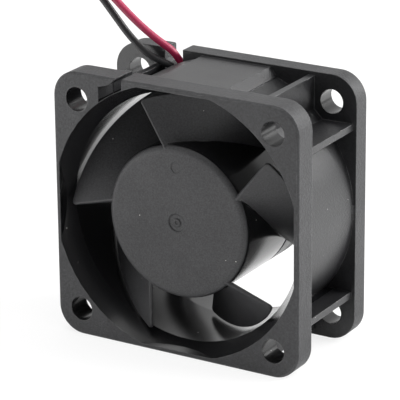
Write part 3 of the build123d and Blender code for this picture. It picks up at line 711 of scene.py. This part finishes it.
# %% Helpers for materials
def place_group(tree, group, **values):
    """The outputs of a shared group in a material, with this material's own values."""
    node = add_node(tree, "ShaderNodeGroup", node_tree=group)
    for name, value in values.items():
        node.inputs[name.replace("_", " ")].default_value = value
    return node.outputs


def start_material(name):
    """A material and its tree, which starts with one Principled shader."""
    material = bpy.data.materials.new(name)
    material.use_nodes = True
    return material, material.node_tree


def finish_material(tree, colour, roughness, normal, **constants):
    """Link what changes over the surface to the shader, and set what doesn't."""
    shader = tree.nodes["Principled BSDF"]
    for name, value in constants.items():
        shader.inputs[name].default_value = value
    for name, socket in (("Base Color", colour), ("Roughness", roughness), ("Normal", normal)):
        tree.links.new(socket, shader.inputs[name])


def relief_from(tree, height, depth, strength, **under):
    """The normal of a small relief from a height, with its depth in millimetres."""
    bump = add_node(
        tree, "ShaderNodeBump", Height=height, Distance=depth * MM, Strength=strength, **under
    )
    return bump.outputs["Normal"]


# %% [markdown]
# ### Plastics
#
# The frame and the impeller are black plastic. It gets most of its brightness from the pale room
# that it mirrors softly, and not from its own colour, which is why the colour stays dark. On
# grained faces the roughness is around a half. On the smooth walls it falls, the grain fades, and
# the colour is darkened as painted shade. The pale rubbed edges are also painted highlights. The
# small mouldings inside, the board and the magnet use the same recipe with a much shallower grain.

# %% Recipe for moulded plastic
PLASTIC_IOR = 1.5
SPECKLE = 3.2
GRAIN_STRENGTH = 0.7
# Share of the colour left on a fully smooth wall: painted shade.
PAINTED_SHADE_TONE = 0.35
FLAT_RELIEF = 0.5
GROOVE_DEPTH = 0.12
GROOVE_STRENGTH = 1.0
DUST_COLOUR = (0.35, 0.34, 0.32, 1)


def moulded_plastic(
    name,
    colour,
    rub_and_highlight_colour,
    grain_size,
    grain_depth,
    low,
    high,
    rub_and_highlight_amount,
    smooth=None,
    polish=None,
    groove=None,
):
    """Plastic with a fine grain, rubbed edges that are also painted highlights, faint patches and dust,
    and any smooth walls, darkened as painted shade.
    """
    material, tree = start_material(name)
    skin = place_group(tree, grain, Size=grain_size, Speckle=SPECKLE)
    tone, relief = skin["Tone"], skin["Height"]
    roughness = place_group(tree, handled, Low=low, High=high)["Roughness"]
    if smooth:
        wall_polish_and_shade = place_group(tree, smooth)["Mask"]
        # Smooth walls get a darker colour: painted shade in the duct, the holes, between the flanges
        # and on the hub's wall.
        tone = blend(tree, "FLOAT", wall_polish_and_shade, tone, PAINTED_SHADE_TONE)
        relief = blend(tree, "FLOAT", wall_polish_and_shade, relief, FLAT_RELIEF)
        roughness = blend(tree, "FLOAT", wall_polish_and_shade, roughness, polish)
    rub_and_highlight = place_group(tree, edge_rub_and_highlight, Amount=rub_and_highlight_amount)
    plain = vector(tree, "SCALE", colour, Scale=tone)
    # Pale edges: rubbed wear, and a painted highlight along each edge.
    with_rub_and_highlight = blend(tree, "RGBA", rub_and_highlight["Mask"], plain, (*rub_and_highlight_colour, 1))
    dusted = blend(tree, "RGBA", place_group(tree, dust)["Mask"], with_rub_and_highlight, DUST_COLOUR)
    normal = rub_and_highlight["Normal"]
    if groove:
        lips = place_group(tree, groove)["Height"]
        normal = relief_from(tree, lips, GROOVE_DEPTH, GROOVE_STRENGTH, Normal=normal)
    normal = relief_from(tree, relief, grain_depth, GRAIN_STRENGTH, Normal=normal)
    finish_material(tree, dusted, roughness, normal, IOR=PLASTIC_IOR)
    return material


print("a fully smooth wall shows", PAINTED_SHADE_TONE, "of the plastic's colour")

# %% Black plastic of the frame and the impeller
# Pale colour of the rubbed edges, which also paints their highlights.
PALE_RUB_AND_HIGHLIGHT = (0.14, 0.14, 0.143)

finishes = {}
finishes["housing_plastic"] = moulded_plastic(
    "housing_plastic",
    colour=(0.0145, 0.0145, 0.016),
    rub_and_highlight_colour=PALE_RUB_AND_HIGHLIGHT,
    grain_size=0.3,
    grain_depth=0.16,
    low=0.46,
    high=0.58,
    rub_and_highlight_amount=0.8,
    smooth=duct_polish_and_shade,
    polish=0.23,
)
finishes["impeller_plastic"] = moulded_plastic(
    "impeller_plastic",
    colour=(0.018, 0.018, 0.0195),
    rub_and_highlight_colour=PALE_RUB_AND_HIGHLIGHT,
    grain_size=0.22,
    grain_depth=0.04,
    low=0.5,
    high=0.62,
    rub_and_highlight_amount=0.25,
    smooth=blade_polish_and_shade,
    polish=0.17,
    groove=gate_groove,
)
print("black plastics:", len(finishes))

# %% Small mouldings, board and magnet
# Each edge colour is both rubbed wear and a painted edge highlight.
SMALL_PLASTICS = {
    "part_black": dict(
        colour=(0.025, 0.025, 0.026), rub_and_highlight_colour=(0.07, 0.07, 0.07),
        grain_size=0.1, grain_depth=0.005, low=0.45, high=0.6, rub_and_highlight_amount=0.3,
    ),
    "insulator_nylon": dict(
        colour=(0.72, 0.69, 0.6), rub_and_highlight_colour=(0.8, 0.78, 0.7),
        grain_size=0.3, grain_depth=0.004, low=0.35, high=0.5, rub_and_highlight_amount=0.2,
    ),
    "washer_plastic": dict(
        colour=(0.6, 0.56, 0.48), rub_and_highlight_colour=(0.7, 0.68, 0.6),
        grain_size=0.2, grain_depth=0.004, low=0.35, high=0.5, rub_and_highlight_amount=0.2,
    ),
    "magnet_ferrite": dict(
        colour=(0.06, 0.056, 0.055), rub_and_highlight_colour=(0.14, 0.13, 0.13),
        grain_size=0.12, grain_depth=0.008, low=0.5, high=0.7, rub_and_highlight_amount=0.5,
    ),
    "capacitor_ceramic": dict(
        colour=(0.5, 0.36, 0.2), rub_and_highlight_colour=(0.6, 0.5, 0.35),
        grain_size=0.1, grain_depth=0.003, low=0.4, high=0.55, rub_and_highlight_amount=0.3,
    ),
    "board_laminate": dict(
        colour=(0.02, 0.16, 0.06), rub_and_highlight_colour=(0.3, 0.35, 0.18),
        grain_size=0.4, grain_depth=0.006, low=0.25, high=0.4, rub_and_highlight_amount=0.3,
    ),
}
for name, look in SMALL_PLASTICS.items():
    finishes[name] = moulded_plastic(name, **look)
print("small plastics:", len(SMALL_PLASTICS))

# %% [markdown]
# ### Metals
#
# A motor is full of metals that look alike and are not: ground bearing steel, drawn spring wire,
# stacked iron sheets, turned brass, enamelled copper, solder. Colour alone would make them one
# grey. What tells them apart is how closely their lines lie, whether these follow one another
# outwards or along the axis, how deep they are, and how much the metal shines.

# %% Recipe for worked metal
METAL_PATCH = 2.5
RELIEF_STRENGTH = 0.5


def worked_metal(name, colour, spacing, along, relief, low, high):
    """Metal with the fine lines of its turning, grinding or drawing."""
    material, tree = start_material(name)
    rings = place_group(tree, turned_rings, Spacing=spacing, Along=along)
    patches = place_group(tree, handled, Patch_Size=METAL_PATCH, Low=low, High=high)
    toned = vector(tree, "SCALE", colour, Scale=rings["Tone"])
    normal = relief_from(tree, rings["Height"], relief, RELIEF_STRENGTH)
    finish_material(tree, toned, patches["Roughness"], normal, Metallic=1.0)
    return material


print("patches on metal are about", METAL_PATCH, "mm wide")

# %% Metals
METALS = {
    "yoke_steel": dict(
        colour=(0.55, 0.56, 0.58), spacing=0.2, along=1.0, relief=0.003, low=0.28, high=0.4
    ),
    "shaft_steel": dict(
        colour=(0.7, 0.7, 0.72), spacing=0.03, along=1.0, relief=0.001, low=0.12, high=0.2
    ),
    "sleeve_brass": dict(
        colour=(0.75, 0.53, 0.22), spacing=0.08, along=1.0, relief=0.003, low=0.2, high=0.32
    ),
    "bearing_steel": dict(
        colour=(0.64, 0.64, 0.66), spacing=0.04, along=0.0, relief=0.001, low=0.14, high=0.24
    ),
    "ball_steel": dict(
        colour=(0.75, 0.75, 0.77), spacing=0.02, along=0.0, relief=0.0003, low=0.06, high=0.1
    ),
    "cage_steel": dict(
        colour=(0.58, 0.58, 0.6), spacing=0.06, along=0.0, relief=0.002, low=0.25, high=0.38
    ),
    "spring_steel": dict(
        colour=(0.58, 0.58, 0.6), spacing=0.03, along=0.0, relief=0.001, low=0.2, high=0.3
    ),
    "clip_steel": dict(
        colour=(0.16, 0.16, 0.17), spacing=0.05, along=0.0, relief=0.002, low=0.4, high=0.55
    ),
    "core_steel": dict(
        colour=(0.36, 0.36, 0.38), spacing=0.35, along=1.0, relief=0.03, low=0.4, high=0.55
    ),
    "winding_copper": dict(
        colour=(0.66, 0.24, 0.09), spacing=0.14, along=1.0, relief=0.02, low=0.2, high=0.32
    ),
    "pin_metal": dict(
        colour=(0.66, 0.62, 0.5), spacing=0.03, along=1.0, relief=0.001, low=0.2, high=0.35
    ),
    "solder_tin": dict(
        colour=(0.66, 0.66, 0.68), spacing=0.4, along=0.0, relief=0.004, low=0.18, high=0.32
    ),
    "blank_foil": dict(
        colour=(0.42, 0.42, 0.43), spacing=0.25, along=0.0, relief=0.002, low=0.36, high=0.5
    ),
    "tinned_wire": dict(
        colour=(0.68, 0.68, 0.7), spacing=0.1, along=0.0, relief=0.006, low=0.22, high=0.36
    ),
}
for name, look in METALS.items():
    finishes[name] = worked_metal(name, **look)
print("metals:", len(METALS))

# %% [markdown]
# ### Lead insulation
#
# The skin of a lead is pressed round its strands through a die, so it has no mould grain and no
# sharp edges to rub. It is almost smooth, with shallow clouds in its shine. The red is deep and
# leans a little to blue.

# %% Lead insulation
SKIN_SIZE = 0.5
SKIN_SPECKLE = 0.25
SKIN_DEPTH = 0.012
SKIN_PATCH = 3.0


def lead_insulation(name, colour, low, high):
    """Soft extruded plastic: almost smooth, with faint cloudy patches."""
    material, tree = start_material(name)
    skin = place_group(tree, grain, Size=SKIN_SIZE, Speckle=SKIN_SPECKLE)
    patches = place_group(tree, handled, Patch_Size=SKIN_PATCH, Low=low, High=high)
    toned = vector(tree, "SCALE", colour, Scale=skin["Tone"])
    normal = relief_from(tree, skin["Height"], SKIN_DEPTH, RELIEF_STRENGTH)
    finish_material(tree, toned, patches["Roughness"], normal, IOR=PLASTIC_IOR)
    return material


finishes["red_insulation"] = lead_insulation("red_insulation", (0.25, 0.005, 0.042), 0.38, 0.5)
finishes["black_insulation"] = lead_insulation("black_insulation", (0.008, 0.008, 0.009), 0.4, 0.52)
print("finishes:", len(finishes))

# %% [markdown]
# ### Finishes on their pieces
#
# The record says which finish each CAD piece has. A CAD piece gets its finish in its mesh's first
# slot, in place of the plain one that it was loaded with, and its shape isn't touched. The leads
# and strands were made here, so theirs are simply added.

# %% Give each piece its finish
slot_of = {part["node"]: part["material_slot"] for part in frame["record"]["subparts"]}
for node_name, node_object in frame["nodes"].items():
    node_object.data.materials.clear()
    node_object.data.materials.append(finishes[slot_of[node_name]])
made_here = {
    red_cord: "red_insulation",
    black_cord: "black_insulation",
    red_strands: "tinned_wire",
    black_strands: "tinned_wire",
}
for piece, finish in made_here.items():
    piece.data.materials.append(finishes[finish])
print("pieces with a finish:", len(frame["nodes"]) + len(made_here))

# %% [markdown]
# ## Floor
#
# The photograph has a plain white ground. The floor is pale and catches the fan's soft shadow.
# Its own colour alone would come out grey, and more light would spoil the fan. Light Path finds
# the rays that come from the camera, and shows them a share of plain white glow instead. The
# share grows with the distance from the fan, so that the far floor is as white as the room. Rays
# that the black plastic mirrors see less of the glow, so that its lower faces stay dark.

# %% Floor
FLOOR_HALF_SIDE = 1.5

floor_mesh = bpy.data.meshes.new("floor")
shape = bmesh.new()
bmesh.ops.create_grid(shape, x_segments=1, y_segments=1, size=FLOOR_HALF_SIDE)
shape.to_mesh(floor_mesh)
shape.free()
floor = place_object("floor", floor_mesh)
print("floor:", 2 * FLOOR_HALF_SIDE, "m wide")

# %% Material of the floor
WHITE = (1, 1, 1, 1)
PAPER = (0.9, 0.9, 0.9, 1)
MIRRORED_GLOW = 0.4
NEAR_GLOW = 0.8
GLOW_RISES_FROM = 0.2
GLOW_FULL_AT = 0.5


def ray_kinds(tree):
    """Masks of the rays from the camera, and of those that gloss or glass sends on."""
    rays = add_node(tree, "ShaderNodeLightPath").outputs
    sent_on = number(tree, "MAXIMUM", rays["Is Glossy Ray"], rays["Is Transmission Ray"])
    return rays["Is Camera Ray"], sent_on


floor_material, tree = start_material("pale_floor")
tree.nodes.clear()
from_camera, sent_on = ray_kinds(tree)
fainter = number(tree, "MULTIPLY", sent_on, MIRRORED_GLOW)
seen = number(tree, "MAXIMUM", from_camera, fainter)
away = vector(tree, "LENGTH", object_place(tree))
bounds = {"From_Min": GLOW_RISES_FROM, "From_Max": GLOW_FULL_AT, "To_Min": NEAR_GLOW, "To_Max": 1.0}
share = number(tree, "MULTIPLY", seen, map_range(tree, away, **bounds))
paper = add_node(tree, "ShaderNodeBsdfDiffuse", Color=PAPER).outputs["BSDF"]
glow = add_node(tree, "ShaderNodeEmission", Color=WHITE, Strength=1.0).outputs["Emission"]
mixed = add_node(tree, "ShaderNodeMixShader", share, paper, glow).outputs["Shader"]
add_node(tree, "ShaderNodeOutputMaterial", mixed)
floor_mesh.materials.append(floor_material)
print("glow on the near floor:", NEAR_GLOW)

# %% [markdown]
# ## Room
#
# The room is one soft white light from all sides. The camera sees plain white in it. What gloss
# mirrors is dimmer towards the right, the front and above, as in the dark part of a studio where
# the camera stands. Without that dark side the faces that look to the camera would mirror white,
# and black plastic would come out grey.

# %% Room
ROOM_LIGHT = 0.7
DIM_SIDE = (0.72, -0.35, 0.6)
DIM_FROM = 0.1
DIM_FULL_AT = 0.75
DIM_LIGHT = 0.25

world = bpy.data.worlds.new("white_room")
world.use_nodes = True
bpy.context.scene.world = world
tree = world.node_tree
tree.nodes.clear()
from_camera, sent_on = ray_kinds(tree)
way = add_node(tree, "ShaderNodeTexCoord").outputs["Generated"]
towards_dim_side = vector(tree, "DOT_PRODUCT", way, DIM_SIDE)
bounds = {"From_Min": DIM_FROM, "From_Max": DIM_FULL_AT, "To_Min": 1.0, "To_Max": DIM_LIGHT}
dimmer = map_range(tree, towards_dim_side, **bounds)
soft, mirrored, white = (
    add_node(tree, "ShaderNodeBackground", Color=WHITE, Strength=strength).outputs["Background"]
    for strength in (ROOM_LIGHT, dimmer, 1.0)
)
lit = add_node(tree, "ShaderNodeMixShader", sent_on, soft, mirrored).outputs["Shader"]
shown = add_node(tree, "ShaderNodeMixShader", from_camera, lit, white).outputs["Shader"]
add_node(tree, "ShaderNodeOutputWorld", shown)
print("room light:", ROOM_LIGHT, "and", DIM_LIGHT, "in the mirrored dim side")

# %% [markdown]
# ## Lamps
#
# The frame's right sides are the brightest in the photograph, so a wide soft lamp stands at the
# right and a little behind. A second one hangs above and lights the top of the frame. A small
# and very weak one, low at the front left, lifts the lower left of the hub and the wall next to
# it. Point lamps would give hard shadows, and the photograph has none.


# %% Lamps
def soft_lamp(name, position, target, size, power):
    """A square area lamp that looks from its position at a target, both in metres."""
    data = bpy.data.lights.new(name, "AREA")
    data.shape = "SQUARE"
    data.size = size
    data.energy = power
    aim = Vector(target) - Vector(position)
    turned = aim.to_track_quat("-Z", "Y").to_matrix().to_4x4()
    place_object(name, data).matrix_world = Matrix.Translation(position) @ turned
    print(name, "is", round(aim.length, 2), "m away and has", power, "W")


middle = (0, 0, AXIS_HEIGHT)
low_left = (-0.015, -0.01, AXIS_HEIGHT)
soft_lamp("right_lamp", position=(0.38, 0.24, 0.3), target=middle, size=0.35, power=5.0)
soft_lamp("top_lamp", position=(-0.05, -0.02, 0.6), target=middle, size=0.45, power=2.2)
soft_lamp("left_lamp", position=(-0.085, -0.075, 0.012), target=low_left, size=0.05, power=0.035)

# %% [markdown]
# ## Finish
#
# The view transform stays at Standard, so that a colour renders as it is written.

# %% Set the view transform
bpy.context.scene.view_settings.view_transform = "Standard"
